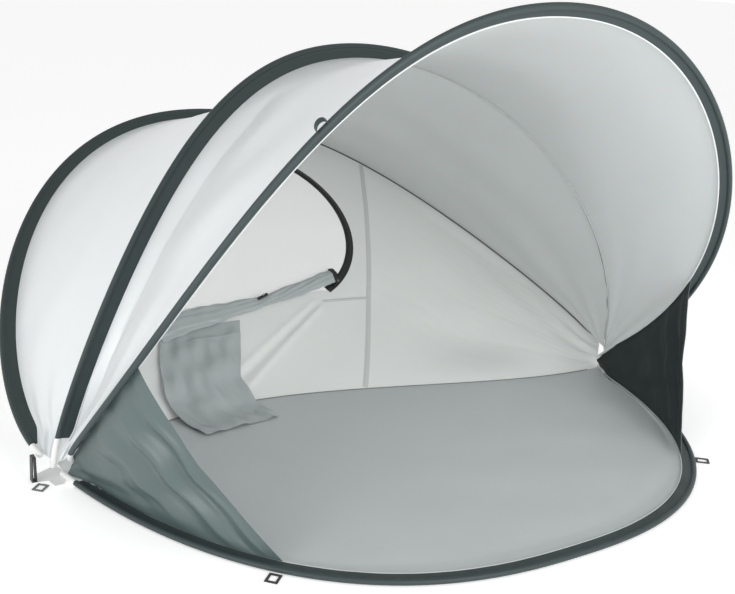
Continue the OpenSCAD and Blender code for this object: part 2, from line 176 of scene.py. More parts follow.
ROD_INSET, TUBE_R, SKIN = 7.3, 6.9, 0.8
TAPER = 120  # the height over which a fin grows to its full width
POCKET, REAR_POCKET = 64, 36  # lengths of the white pockets at the sleeves' ends
FLOOR = Hoop(0, 925, 7.5, 895, -10, 900, 240, 0, 39, 0)
FRONT = Hoop(61, 894, 37, 1345, 42, 196, 870, -162, 36, 28)
MID = Hoop(101, 948, 27, 1040, 4, 232, 636, -150, 46, 0)
REAR = Hoop(153, 974, 62, 1423, 20, 296, 782, 55, 48, 0)
ROOF_SAG = 0.035
ROOF_END = 16  # how far from the hoops' feet the roof strips end
PLEAT_AT = 0.87  # where the pleat's ridge lies between the strip's two hoops
SEAM_X, SEAM_DEPTH, SEAM_SKEW = 900, 190, 200


# ---------------------------------------------------------------- materials
def material(name, colour, rough=0.6, sheen=0.0, weave=0.0, weave_size=0.0016, mottle=0.0,
             metallic=0.0, alpha=1.0, glow=0.0, specular=0.5):
    """A procedural cloth or plastic. weave is the height of the weave's bump, and glow the
    light that comes through thin cloth from outside."""
    mat = bpy.data.materials.new(name)
    mat.use_nodes = True
    tree = mat.node_tree
    shader = tree.nodes["Principled BSDF"]
    shader.inputs["Base Color"].default_value = (*colour, 1)
    shader.inputs["Roughness"].default_value = rough
    shader.inputs["Metallic"].default_value = metallic
    shader.inputs["Sheen Weight"].default_value = sheen
    shader.inputs["Sheen Roughness"].default_value = 0.4
    shader.inputs["Emission Color"].default_value = (1, 1, 1, 1)
    shader.inputs["Emission Strength"].default_value = glow
    shader.inputs["Specular IOR Level"].default_value = specular
    shader.inputs["Alpha"].default_value = alpha
    place = tree.nodes.new("ShaderNodeTexCoord")
    if mottle:
        noise = tree.nodes.new("ShaderNodeTexNoise")
        noise.inputs["Scale"].default_value = 3.5
        noise.inputs["Detail"].default_value = 4
        tree.links.new(place.outputs["Object"], noise.inputs["Vector"])
        ramp = tree.nodes.new("ShaderNodeMapRange")
        ramp.inputs["To Min"].default_value = 1 - mottle
        ramp.inputs["To Max"].default_value = 1 + mottle
        tree.links.new(noise.outputs["Fac"], ramp.inputs["Value"])
        tint = tree.nodes.new("ShaderNodeVectorMath")
        tint.operation = "SCALE"
        tint.inputs[0].default_value = colour
        tree.links.new(ramp.outputs["Result"], tint.inputs["Scale"])
        tree.links.new(tint.outputs["Vector"], shader.inputs["Base Color"])
    if weave:
        total = None
        for axis in ("X", "Y"):
            wave = tree.nodes.new("ShaderNodeTexWave")
            wave.bands_direction = axis
            wave.inputs["Scale"].default_value = 0.5 / (weave_size * math.pi)
            tree.links.new(place.outputs["UV"], wave.inputs["Vector"])
            if total is None:
                total = wave.outputs["Fac"]
            else:
                join = tree.nodes.new("ShaderNodeMath")
                join.operation = "MULTIPLY"
                tree.links.new(total, join.inputs[0])
                tree.links.new(wave.outputs["Fac"], join.inputs[1])
                total = join.outputs["Value"]
        bump = tree.nodes.new("ShaderNodeBump")
        bump.inputs["Strength"].default_value = weave
        bump.inputs["Distance"].default_value = 0.0003
        tree.links.new(total, bump.inputs["Height"])
        tree.links.new(bump.outputs["Normal"], shader.inputs["Normal"])
    return mat


SLATE = material("slate_cloth", (0.036, 0.051, 0.051), 0.5, weave=0.25, mottle=0.08, specular=0.35)
WING_OUT = material("wing_cloth_outer", (0.085, 0.118, 0.116), 0.36, weave=0.25, mottle=0.06)
# The wing's inner side is the same cloth as its outer side, painted much darker: a painted shade for
# the side that faces into the shelter.
WING_IN_PAINTED_SHADE = material("wing_cloth_inner_painted_shade", (0.016, 0.024, 0.023), 0.6, weave=0.25, specular=0.3)
SILVER = material("silver_cloth", (0.72, 0.75, 0.76), 0.30, sheen=0.05, weave=0.2, mottle=0.03)
LINING = material("lining_cloth", (0.53, 0.56, 0.555), 0.62, glow=0.07, weave=0.2, mottle=0.03)
WALL = material("wall_cloth", (0.61, 0.63, 0.615), 0.62, glow=0.08, weave=0.2, mottle=0.03)
GROUND = material("floor_cloth", (0.50, 0.535, 0.535), 0.5, sheen=0.1, weave=0.3, mottle=0.04)
SATIN = material("satin_cloth", (0.39, 0.42, 0.425), 0.24, sheen=0.05, weave=0.2, mottle=0.03)
MESH = material("window_mesh", (0.86, 0.87, 0.86), 0.7, weave=0.6, weave_size=0.002, alpha=0.5)
WHITE = material("white_cloth", (0.78, 0.79, 0.78), 0.6, sheen=0.1, weave=0.3)
PIPE = material("piping", (0.70, 0.72, 0.72), 0.5, sheen=0.1)
SEAM = material("seam_tape", (0.46, 0.48, 0.48), 0.6, weave=0.2, glow=0.03)
WEB = material("webbing", (0.012, 0.012, 0.013), 0.65, sheen=0.3, weave=0.5, weave_size=0.003)
ZIP = material("zip_tape", (0.010, 0.010, 0.011), 0.6, sheen=0.2, weave=0.4, weave_size=0.0025)
PLASTIC = material("black_plastic", (0.012, 0.012, 0.013), 0.3)
STEEL = material("steel", (0.55, 0.55, 0.55), 0.3, metallic=1.0)
ROD = material("rod", (0.05, 0.055, 0.06), 0.35)
FELL = material("felled_seam", (0.46, 0.475, 0.465), 0.6, weave=0.2, glow=0.06)
DARK_SEAM = material("dark_seam", (0.20, 0.21, 0.21), 0.6)
TAB = material("grey_webbing", (0.13, 0.145, 0.145), 0.6, weave=0.5, weave_size=0.003)
CORD = material("pale_cord", (0.30, 0.31, 0.31), 0.7)


# ---------------------------------------------------------------- meshes
def mesh_object(name, verts, faces, mats, uvs=None, mat_index=None, sharp=False):
    data = bpy.data.meshes.new(name)
    data.from_pydata([tuple(v) for v in np.asarray(verts) * MM], [], faces)
    for m in mats:
        data.materials.append(m)
    if mat_index is not None:
        data.polygons.foreach_set("material_index", np.asarray(mat_index, np.int32))
    data.polygons.foreach_set("use_smooth", np.full(len(faces), not sharp))
    if uvs is not None:
        layer = data.uv_layers.new(name="UVMap")
        loops = np.empty(len(data.loops), np.int32)
        data.loops.foreach_get("vertex_index", loops)
        layer.data.foreach_set("uv", np.asarray(uvs, np.float32)[loops].ravel())
    data.validate()
    data.update()
    data.set_sharp_from_angle(angle=math.radians(55))
    obj = bpy.data.objects.new(name, data)
    SCENE.collection.objects.link(obj)
    return obj


def normals(g):
    d = np.cross(np.gradient(g, axis=0), np.gradient(g, axis=1))
    return d / np.maximum(np.linalg.norm(d, axis=-1, keepdims=True), 1e-9)


def lengths(g):
    """Distances along a grid's rows and columns, in metres, as UVs."""
    a = np.concatenate(
        [np.zeros((1, g.shape[1])), np.linalg.norm(np.diff(g, axis=0), axis=-1)]
    ).cumsum(0)
    b = np.concatenate(
        [np.zeros((g.shape[0], 1)), np.linalg.norm(np.diff(g, axis=1), axis=-1)], 1
    ).cumsum(1)
    return a * MM, b * MM


def panel(name, g, mats, thick=0.6, keep=None):
    """A closed sheet on a grid of points. mats are its low side's and its high side's.
    keep, if given, says which of the grid's faces are there."""
    n, m = g.shape[:2]
    nor = normals(g)
    low, high = g - nor * thick / 2, g + nor * thick / 2
    verts = np.concatenate([low.reshape(-1, 3), high.reshape(-1, 3)])
    ia, ib = np.meshgrid(np.arange(n - 1), np.arange(m - 1), indexing="ij")
    if keep is None:
        keep = np.ones((n - 1, m - 1), bool)
    a = (ia * m + ib)[keep]
    quads_low = np.stack([a, a + 1, a + m + 1, a + m], 1)
    size = n * m
    quads_high = quads_low[:, ::-1] + size
    edges = {}
    for q in quads_low.tolist():
        for k in range(4):
            e = (q[k], q[(k + 1) % 4])
            if (e[1], e[0]) in edges:
                del edges[(e[1], e[0])]
            else:
                edges[e] = True
    rim = [(b, a2, a2 + size, b + size) for a2, b in edges]
    faces = quads_low.tolist() + quads_high.tolist() + rim
    index = [0] * len(quads_low) + [1] * len(quads_high) + [1] * len(rim)
    used = np.unique(np.array(quads_low))
    used = np.concatenate([used, used + size])
    remap = -np.ones(2 * size, int)
    remap[used] = np.arange(len(used))
    lu, lv = lengths(g)
    uv = np.stack([lu, lv], -1).reshape(-1, 2)
    uv = np.concatenate([uv, uv])[used]
    faces = [[int(remap[i]) for i in f] for f in faces]
    obj = mesh_object(name, verts[used], faces, mats, uv, index)
    return obj


def sweep(name, rings, mat, closed_ends=True, sharp=False):
    """A closed tube through rings, an array of ring by point by xyz."""
    n, m = rings.shape[:2]
    i, j = np.meshgrid(np.arange(n - 1), np.arange(m), indexing="ij")
    a, b = i * m + j, i * m + (j + 1) % m
    faces = np.stack([a, b, b + m, a + m], -1).reshape(-1, 4).tolist()
    if closed_ends:
        faces += [list(range(m))[::-1], [(n - 1) * m + k for k in range(m)]]
    along = np.concatenate(
        [[0], np.linalg.norm(np.diff(rings.mean(1), axis=0), axis=1)]
    ).cumsum()
    around = np.concatenate(
        [[0], np.linalg.norm(np.diff(rings[n // 2], axis=0), axis=1)]
    ).cumsum()
    uv = np.stack(np.broadcast_arrays(along[:, None], around[None, :]), -1).reshape(-1, 2) * MM
    return mesh_object(name, rings.reshape(-1, 3), faces, [mat], uv, sharp=sharp)


def wire(name, path, r, mat, sides=8):
    """A round cord or piping of radius r along a path of points."""
    path = np.asarray(path, float)
    d = np.gradient(path, axis=0)
    d /= np.linalg.norm(d, axis=1, keepdims=True)
    side = np.cross(d, (0.0, 0.0, 1.0))
    weak = np.linalg.norm(side, axis=1) < 1e-3
    side[weak] = np.cross(d[weak], (0.0, 1.0, 0.0))
    side /= np.linalg.norm(side, axis=1, keepdims=True)
    other = np.cross(side, d)
    ang = np.linspace(0, 2 * math.pi, sides, endpoint=False)
    rings = path[:, None] + r * (
        np.cos(ang)[None, :, None] * side[:, None] + np.sin(ang)[None, :, None] * other[:, None]
    )
    return sweep(name, rings, mat)


def declare(g):
    """Works out the distances along g's rows and columns, and keeps nothing of them."""
    lu, lv = lengths(g)


def fan(obj, share):
    """Lays obj's vertices in a line along X, each by its own share from 0 to 1, bakes obj's
    transform, and then puts the shape back. Nothing reads the share in between, so obj doesn't bend."""
    mesh = obj.data
    shape = np.empty(len(mesh.vertices) * 3, np.float32)
    mesh.vertices.foreach_get("co", shape)
    line = np.zeros((len(mesh.vertices), 3), np.float32)
    line[:, 0] = 0.5 - np.sin(np.arcsin(1 - 2 * np.clip(share, 0, 1)) / 3)
    mesh.vertices.foreach_set("co", line.ravel())
    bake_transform(obj)
    mesh.vertices.foreach_set("co", shape)
    mesh.update()


# ---------------------------------------------------------------- sleeves
def sleeve_rings(hoop, us, grow=0.0, seed=1, ripple=0.8, wide=None):
    """Closed cross-sections: a tube round the rod and a flat fin towards the inside.
    wide, if given, is the length over which the fin narrows to the foot."""
    width = hoop.fin_width(us) + grow
    if wide is not None:
        far = (1 - np.abs(us)) * 3 * hoop.foot_pull
        full = hoop.fin_width(np.array(hoop.u_at(wide))) + grow
        width = np.maximum(width, full * (0.45 + 0.55 * smooth(far / wide)))
    r = TUBE_R + SKIN / 2 + grow
    arc = np.radians(np.linspace(180 - 152, 180 + 152, 15))
    run = (1 - np.abs(us)) * 3 * hoop.foot_pull * np.sign(us)
    shake = ripple * waves(run, 0 * run, seed, 6, 60, 240) * smooth((width - 16) / 20)
    shake = shake + 2.2 * ripple * waves(run, 0 * run, seed + 1, 5, 22, 48) * np.exp(
        -(((np.abs(run) - 110) / 70) ** 2)
    )
    fins = np.linspace(0.22, 1.0, 6)
    half = 1.35 + grow
    rings = []
    inner = width - ROD_INSET
    for f in fins[::-1]:
        rings.append(hoop.section(us, inner * f + 0.3 * shake * f, half + shake * f))
    for a in arc:
        rings.append(hoop.section(us, r * np.cos(a), r * np.sin(a)))
    for f in fins:
        rings.append(hoop.section(us, inner * f + 0.3 * shake * f, -half + shake * f))
    return np.stack(rings, 1)


def even_us(hoop, start, count):
    """Values of u spaced evenly along the hoop, from start mm above one foot to the other."""
    fine = np.linspace(-hoop.u_at(start), hoop.u_at(start), 4001)
    p = hoop.point(fine)
    run = np.concatenate([[0], np.linalg.norm(np.diff(p, axis=0), axis=1)]).cumsum()
    return np.interp(np.linspace(0, run[-1], count), run, fine)


def make_hoop(hoop, label, body):
    pocket = REAR_POCKET if label == "rear" else POCKET
    us = even_us(hoop, pocket, 320)
    obj = sweep(f"{label}_sleeve_cloth", sleeve_rings(hoop, us, seed=hash_of(label)), SLATE)
    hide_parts(f"{label}_sleeve")
    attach(obj, body)
    for side, name in ((-1, "left"), (1, "right")):
        us = side * np.array([hoop.u_at(x) for x in np.linspace(3, pocket + 6, 14)])
        us = us if side < 0 else us[::-1]
        end = sweep(
            f"{label}_pocket_{name}", sleeve_rings(hoop, us, 0.7, ripple=0, wide=pocket), WHITE
        )
        if side < 0:
            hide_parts(f"{label}_end_pockets")
        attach(end, body)
    NODES[f"{label}_rod"].data.materials[0] = ROD
    NODES[f"{label}_rod_ferrules"].data.materials[0] = STEEL
    NODES[f"{label}_rod_tips"].data.materials[0] = PLASTIC


def hash_of(label):
    return sum(ord(c) * (k + 1) for k, c in enumerate(label)) % 1000


for each_hoop, each_label, each_body in (
    (FLOOR, "floor", "ground"),
    (FRONT, "front", "front_hoop"),
    (MID, "mid", "mid_hoop"),
    (REAR, "rear", "rear_hoop"),
):
    make_hoop(each_hoop, each_label, each_body)


# ---------------------------------------------------------------- roof strips
def roof_grid(front, back, n, m, seed, height, pleat):
    u = np.linspace(-1, 1, n)[:, None]
    u = np.sign(u) * (1 - (1 - np.abs(u)) ** 1.15)
    s = np.linspace(0, 1, m)[None, :]
    a = front.fin_edge(u[:, 0] * front.u_at(ROOF_END), -3, 2.2)[:, None]
    b = back.fin_edge(u[:, 0] * back.u_at(ROOF_END), -3, -2.2)[:, None]
    g = mix(a, b, s[..., None])
    k = 1 - ROOF_SAG * 4 * s * (1 - s)
    g[..., 1] *= k
    g[..., 2] *= k
    lu, lv = lengths(g)
    lu, lv = lu * 1000, lv * 1000
    hold = np.sin(np.pi * s) ** 0.6
    ends = np.exp(-(1 - np.abs(u)) / 0.16) * np.clip((1 - np.abs(u)) / 0.05, 0, 1)
    rays = np.sin(2 * np.pi * (3.3 * s + 0.25 * waves(u * 900, 0 * s, seed + 4, 3, 500, 900)))
    soft = waves(lu, lv, seed, 7, 260, 620, 65)
    fine = waves(lu, lv, seed + 1, 9, 90, 200, 80, 0.5)
    near = np.exp(-((1 - s) / 0.22) ** 2) + 0.6 * np.exp(-((s / 0.2) ** 2))
    d = hold * (height * soft + 0.28 * height * fine * near + 6.5 * rays * ends)
    # A pleat that stands out beside the rear hoop of the strip, on the left only.
    wander = 0.018 * waves(u * 900, 0 * s, seed + 7, 3, 180, 420)
    run = np.clip((1 - s) / (0.13 + wander), 0, 1)
    rise = np.where(run < 1, run**1.3, np.exp(-((run - 1) + (PLEAT_AT - s).clip(0)) / 0.35))
    rise = rise * np.exp(-(PLEAT_AT - s).clip(0) / 0.3)
    d = d - pleat * rise * smooth((-u - 0.16) / 0.16) * smooth((u + 0.95) / 0.12)
    return g + normals(g) * d[..., None]


def make_roof(name, front, back, seed, height, pleat=0.0):
    g = roof_grid(front, back, 300, 56, seed, height, pleat)
    obj = panel(f"{name}_cloth", g, [LINING, SILVER])
    share = np.broadcast_to(np.linspace(0, 1, 56)[None, :], (300, 56)).ravel()
    declare(g)
    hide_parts(name)
    fan(obj, np.concatenate([share, share]))
    return obj


make_roof("roof_front", FRONT, MID, 11, 3.0, 25.0)
make_roof("roof_rear", MID, REAR, 23, 3.0)


# ---------------------------------------------------------------- floor and back wall
def seam_y(x):
    k = x / SEAM_X
    return (SEAM_DEPTH - SEAM_SKEW * k) * (1 - k * k)


WALL_TOP = REAR.fin_edge(np.array(0.0), 2, 3)
WALL_BASE = 4
WALL_TILT = math.atan2(WALL_TOP[2], WALL_TOP[1] - SEAM_DEPTH)
WALL_NORMAL = np.array([0, -math.sin(WALL_TILT), math.cos(WALL_TILT)])
WALL_UP = np.array([0, math.cos(WALL_TILT), math.sin(WALL_TILT)])
WALL_ORIGIN = np.array([0, SEAM_DEPTH, WALL_BASE])
WINDOW_R, SILL_UP, CENTRE_UP, WINDOW_LEFT = 366, 385, 715, 240


def on_wall(x, up, height=0.0):
    """A point by its place on the wall's plane and its height over it, into the shelter."""
    x, up, height = np.broadcast_arrays(*(np.asarray(v, float) for v in (x, up, height)))
    out = WALL_ORIGIN + up[..., None] * WALL_UP + height[..., None] * WALL_NORMAL
    out[..., 0] = x
    return out


def window_inside(x, up):
    """Distance inside the window's outline, in mm, positive inside."""
    a = np.where(x > 0, x, np.where(x < -WINDOW_LEFT, x + WINDOW_LEFT, 0))
    above = WINDOW_R - np.hypot(a, up - CENTRE_UP)
    return np.minimum(above, up - SILL_UP)


def wall_grid(n, m):
    u = np.linspace(-1, 1, n)[:, None]
    s = np.linspace(0, 1, m)[None, :]
    x = u[:, 0] * (SEAM_X + 6)
    foot = np.stack([x, seam_y(x) - 1, np.full(n, 1.4)], -1)[:, None]
    top = REAR.fin_edge(u[:, 0] * REAR.u_at(46), -3, 2.2)[:, None]
    g = mix(foot, top, s[..., None])
    away = (g - WALL_ORIGIN) @ WALL_NORMAL
    flat = smooth((0.80 - np.abs(u)) / 0.34) * smooth(s / 0.30) * smooth((1 - s) / 0.10)
    g = g - (away * flat)[..., None] * WALL_NORMAL
    lu, lv = lengths(g)
    lu, lv = lu * 1000, lv * 1000
    up = (g - WALL_ORIGIN) @ WALL_UP
    calm = smooth((-window_inside(g[..., 0], up) - 20) / 120)
    hold = np.sin(np.pi * np.clip(s, 0, 1)) ** 0.7 * calm
    ends = np.exp(-(1 - np.abs(u)) / 0.22) * np.clip((1 - np.abs(u)) / 0.06, 0, 1)
    rays = np.sin(2 * np.pi * (3.6 * s + 0.3 * waves(u * 900, 0 * s, 61, 3, 400, 900)))
    soft = waves(lu, lv, 31, 7, 220, 560, 110)
    fine = waves(lu, lv, 37, 8, 80, 180, 60, 0.6)
    d = hold * (3.0 * soft + 0.35 * fine + 3.2 * rays * ends)
    # Creases run down from the right-hand end of the window's sill.
    for offset, size in ((0, 7.0), (-34, -6.0), (-62, 5.0)):
        d = d + size * line_ridge(g[..., 0], up, (130, 340), (-300, 50), offset, 9)
    return g + normals(g) * d[..., None]


def line_ridge(x, up, start, end, offset, width):
    """A ridge beside a straight line on the wall, which fades out at the line's ends."""
    a, b = np.array(start, float), np.array(end, float)
    size = np.linalg.norm(b - a)
    t = (b - a) / size
    along = (x - a[0]) * t[0] + (up - a[1]) * t[1]
    across = (x - a[0]) * -t[1] + (up - a[1]) * t[0] - offset * (0.4 + 0.6 * along / size)
    return np.exp(-((across / width) ** 2)) * smooth(along / 60) * smooth((size - along) / 90)


def wall_seam(name, g, start, end, width, bow=0.0):
    """A flat-felled seam that lies on the wall's cloth, bowed to the right by bow."""
    a, b = np.array(start, float), np.array(end, float)
    t = (b - a) / np.linalg.norm(b - a)
    k = np.linspace(0, 1, 60)[:, None]
    cross = np.linspace(-width / 2, width / 2, 5)[None, :]
    x = a[0] + (b - a)[0] * k - t[1] * cross + bow * np.sin(np.pi * k)
    up = a[1] + (b - a)[1] * k + t[0] * cross
    flat = g.reshape(-1, 3)
    gx, gup, gh = flat[:, 0], (flat - WALL_ORIGIN) @ WALL_UP, (flat - WALL_ORIGIN) @ WALL_NORMAL
    height = np.empty(x.shape)
    for i in np.ndindex(x.shape):
        far = (gx - x[i]) ** 2 + (gup - up[i]) ** 2
        best = np.argpartition(far, 4)[:4]
        near = 1 / (far[best] + 1)
        height[i] = (gh[best] * near).sum() / near.sum()
    lift = np.array([0.5, 1.5, 1.7, 1.5, 0.5])[None, :]
    strip = on_wall(x, up, height + lift)
    obj = panel(name, strip, [FELL, FELL])
    co = np.array([v.co for v in obj.data.vertices]) / MM
    declare(strip)
    fan(obj, smooth((co - WALL_ORIGIN) @ WALL_UP / 250))


def make_wall():
    n, m = 330, 150
    g = wall_grid(n, m)
    up = (g - WALL_ORIGIN) @ WALL_UP
    inside = window_inside(g[..., 0], up)
    # The grid's points next to the window's outline move onto it, so that its edge is clean.
    near = np.abs(inside) < 5.5
    step = 1.5
    gx = (window_inside(g[..., 0] + step, up) - window_inside(g[..., 0] - step, up)) / (2 * step)
    gu = (window_inside(g[..., 0], up + step) - window_inside(g[..., 0], up - step)) / (2 * step)
    move = np.where(near, inside, 0)
    g = g.copy()
    g[..., 0] -= move * gx
    g -= (move * gu)[..., None] * WALL_UP
    hole = np.where(near, 0, inside)
    cell = np.minimum(
        np.minimum(hole[:-1, :-1], hole[1:, :-1]), np.minimum(hole[:-1, 1:], hole[1:, 1:])
    )
    top = np.maximum(
        np.maximum(hole[:-1, :-1], hole[1:, :-1]), np.maximum(hole[:-1, 1:], hole[1:, 1:])
    )
    keep = ~((cell >= 0) & (top > 0))
    wall_seam("wall_seam_upright", g, (101, -17), (575, 950), 17, bow=26)
    wall_seam("wall_seam_level", g, (120, 341), (300, 330), 12)
    obj = panel("back_wall_cloth", g, [WALL, WALL], keep=keep)
    co = np.array([v.co for v in obj.data.vertices]) / MM
    up = (co - WALL_ORIGIN) @ WALL_UP
    share = smooth(up / 250)
    declare(g)
    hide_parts("back_wall")
    fan(obj, share)


make_wall()


def make_floor():
    n, m = 200, 90
    x = np.linspace(-1, 1, n)
    us = x * FLOOR.u_at(24)
    edge = FLOOR.point(us, FLOOR.fin_width(us) - 4)
    sx = x * (SEAM_X + 12)
    back = np.stack([sx, seam_y(sx), 0 * sx], -1)
    s = np.linspace(0, 1, m)[None, :, None]
    g = mix(edge[:, None], back[:, None], s)
    lift = waves(g[..., 0], g[..., 1], 71, 9, 160, 480) * 0.9 + 1.6
    rim = smooth(np.minimum(s[..., 0], 1 - s[..., 0]) / 0.12)
    g[..., 2] = 1.2 + np.maximum(lift, 0) * rim + 5.0 * (1 - smooth(s[..., 0] / 0.06))
    at = np.linspace(-0.96, 0.96, 200) * SEAM_X
    edge = wire("floor_wall_seam", np.stack([at, seam_y(at) - 3, 0 * at + 3.2], -1), 1.3, DARK_SEAM)
    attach(edge, "ground")
    obj = panel("floor_cloth", g, [GROUND, GROUND], thick=0.8)
    declare(g)
    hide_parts("floor_sheet")
    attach(obj, "ground")


make_floor()


# ---------------------------------------------------------------- side wings
def wing_grid(side, n=170, m=81):
    v = np.linspace(0.02, 1, n)[:, None]
    s = np.linspace(0.0, 1, m)[None, :]
    w = v * (1 - 0.05 * 4 * s * (1 - s) * v)
    uf, uh = mix(1, 0.65, w), mix(1, 0.61, w)
    low = FLOOR.point(side * uf, FLOOR.fin_width(uf) - 3, 3.5)
    high = FRONT.fin_edge(side * uh, -3, -2.2)
    g = mix(low, high, s[..., None])
    lu, lv = lengths(g)
    lu, lv = lu * 1000, lv * 1000
    hold = np.sin(np.pi * s) ** 0.7
    rays = np.sin(2 * np.pi * (2.1 * s + 0.12 * v) + 0.8 * waves(lu, lv, 83, 3, 300, 700))
    fine = waves(lu, lv, 89, 8, 60, 160, 20, 0.5)
    bend = 0.02 * waves(s * 900, 0 * v, 85, 3, 300, 700)
    folds = 0
    # Creases beside the free edge: the place between corner and edge, the height, the width.
    for place, size, thin in ((0.945, 5.0, 0.016), (0.885, -11.0, 0.028), (0.80, 10.0, 0.030),
                              (0.715, -7.0, 0.040), (0.60, 6.0, 0.045), (0.46, -4.0, 0.05)):
        folds = folds + size * np.exp(-(((v - place + bend) / thin) ** 2))
    d = hold * ((5 * v**0.6 * rays + 1.4 * fine * v) * (1 - 0.5 * v) + folds)
    g = g + normals(g) * d[..., None]
    return g if side < 0 else g[::-1]


def fold_wing(obj, part):
    """The lower half goes with the ground body and the upper half with the front hoop's body, each
    with a mesh of its own.
    """
    if part == "lower":
        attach(obj, "ground")
        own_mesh(obj)
    else:
        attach(obj, "front_hoop")
        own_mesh(obj)


def make_wing(side, name):
    g = wing_grid(side)
    cut = 40
    rim = g[-1] if side < 0 else g[0]
    for part, path in (("lower", rim[: cut + 1]), ("upper", rim[cut + 3 :])):
        edge = wire(f"wing_{name}_edge_{part}", path, 1.0, WING_OUT)
        fold_wing(edge, part)
    for part, piece in (("lower", g[:, : cut + 1]), ("upper", g[:, cut:])):
        # The side that faces into the shelter takes the darker copy of the wing cloth, which is
        # painted shade.
        outward = normals(piece)[..., 0].mean() * side > 0
        obj = panel(
            f"wing_{name}_{part}", piece, [WING_IN_PAINTED_SHADE, WING_OUT] if outward else [WING_OUT, WING_IN_PAINTED_SHADE]
        )
        declare(piece)
        if part == "lower":
            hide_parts(f"wing_{name}")
        fold_wing(obj, part)


make_wing(-1, "left")
make_wing(1, "right")


# ---------------------------------------------------------------- window
def arc_path(grow, count=90):
    end = math.asin((CENTRE_UP - SILL_UP) / WINDOW_R)
    a = np.linspace(-end, math.pi / 2, count)
    b = np.linspace(math.pi / 2, math.pi + end, count)
    r = WINDOW_R + grow
    x = np.concatenate([r * np.cos(a), r * np.cos(b) - WINDOW_LEFT])
    up = np.concatenate([CENTRE_UP + r * np.sin(a), CENTRE_UP + r * np.sin(b)])
    return x, up


def make_window():
    for node, mat in (("window_mesh", MESH), ("zip_slider", PLASTIC), ("zip_puller", PLASTIC),
                      ("toggle_left", PLASTIC), ("toggle_middle", PLASTIC),
                      ("toggle_loops", CORD)):
        NODES[node].data.materials[0] = mat
    rows = []
    for grow, height in ((-13.5, 0.6), (-13.2, 1.5), (-4, 1.7), (-3, 3.0), (3, 3.0), (4, 1.7),
                         (13.2, 1.5), (13.5, 0.6)):
        x, up = arc_path(grow)
        rows.append(on_wall(x, up, height))
    tape = sweep("zip_tape", np.stack(rows, 1), ZIP)
    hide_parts("window_zip")
    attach(tape, "rear_hoop")


make_window()


def make_cover():
    """The rolled cover: a loose spiral of satin that sags between its two ties."""
    n = 200
    x = np.linspace(207, -474, n)
    knots = [-474, -300, -96, 60, 207]
    centre = np.interp(x, knots, [314, 340, 366, 398, 434])
    half_w = np.interp(x, knots, [44, 34, 17, 23, 26])
    for _ in range(14):
        for line in (centre, half_w):
            line[1:-1] = (line[:-2] + 2 * line[1:-1] + line[2:]) / 4
    ties = np.exp(-(((x + 96) / 24) ** 2)) + np.exp(-(((x + 470) / 20) ** 2))
    half_h = 8.6 * (1 - 0.25 * np.clip(ties, 0, 1)) + 0.8 * waves(x, 0 * x, 6, 4, 80, 200)
    half_w = half_w + 1.8 * waves(x, 0 * x, 5, 4, 90, 240)
    a = np.linspace(0, 2 * math.pi, 72, endpoint=False)
    cx = x[:, None]
    slide = 2.4 * np.sin(cx / 95) + 0.012 * cx
    folds = 0.10 * np.abs(np.sin(2.5 * a[None] + slide)) + 0.06 * np.sin(9 * a[None] + 1.7 * slide)
    folds = folds + 0.05 * waves(cx, 40 * a[None], 8, 7, 26, 90, 20, 0.6)
    up = centre[:, None] + half_w[:, None] * np.cos(a)[None] * (1 + folds)
    high = 10.4 + half_h[:, None] * np.sin(a)[None] * (1 + 1.6 * folds)
    obj = sweep("rolled_cover", on_wall(cx, up, np.maximum(high, 0.9)), SATIN)
    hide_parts("window_cover")
    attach(obj, "rear_hoop")
    # The free end of the zip is wrapped round the roll's right-hand end.
    for k, at in enumerate((207, 199)):
        rings = []
        for along in (-4.6, -4.0, 4.0, 4.6):
            grow = 2.6 if abs(along) < 4.3 else 0.4
            size = np.interp(at, [60, 207], [23, 26]) + grow + 1.5 * k
            rings.append(on_wall(
                at + along + 5 * np.cos(a) * (k - 1),
                np.interp(at, [60, 207], [398, 434]) + size * 1.05 * np.cos(a),
                np.maximum(10.4 + (9.8 + grow + k) * np.sin(a), 0.6),
            ))
        band = sweep(f"zip_wrap_{k + 1}", np.stack(rings, 0), ZIP)
        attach(band, "rear_hoop")


make_cover()


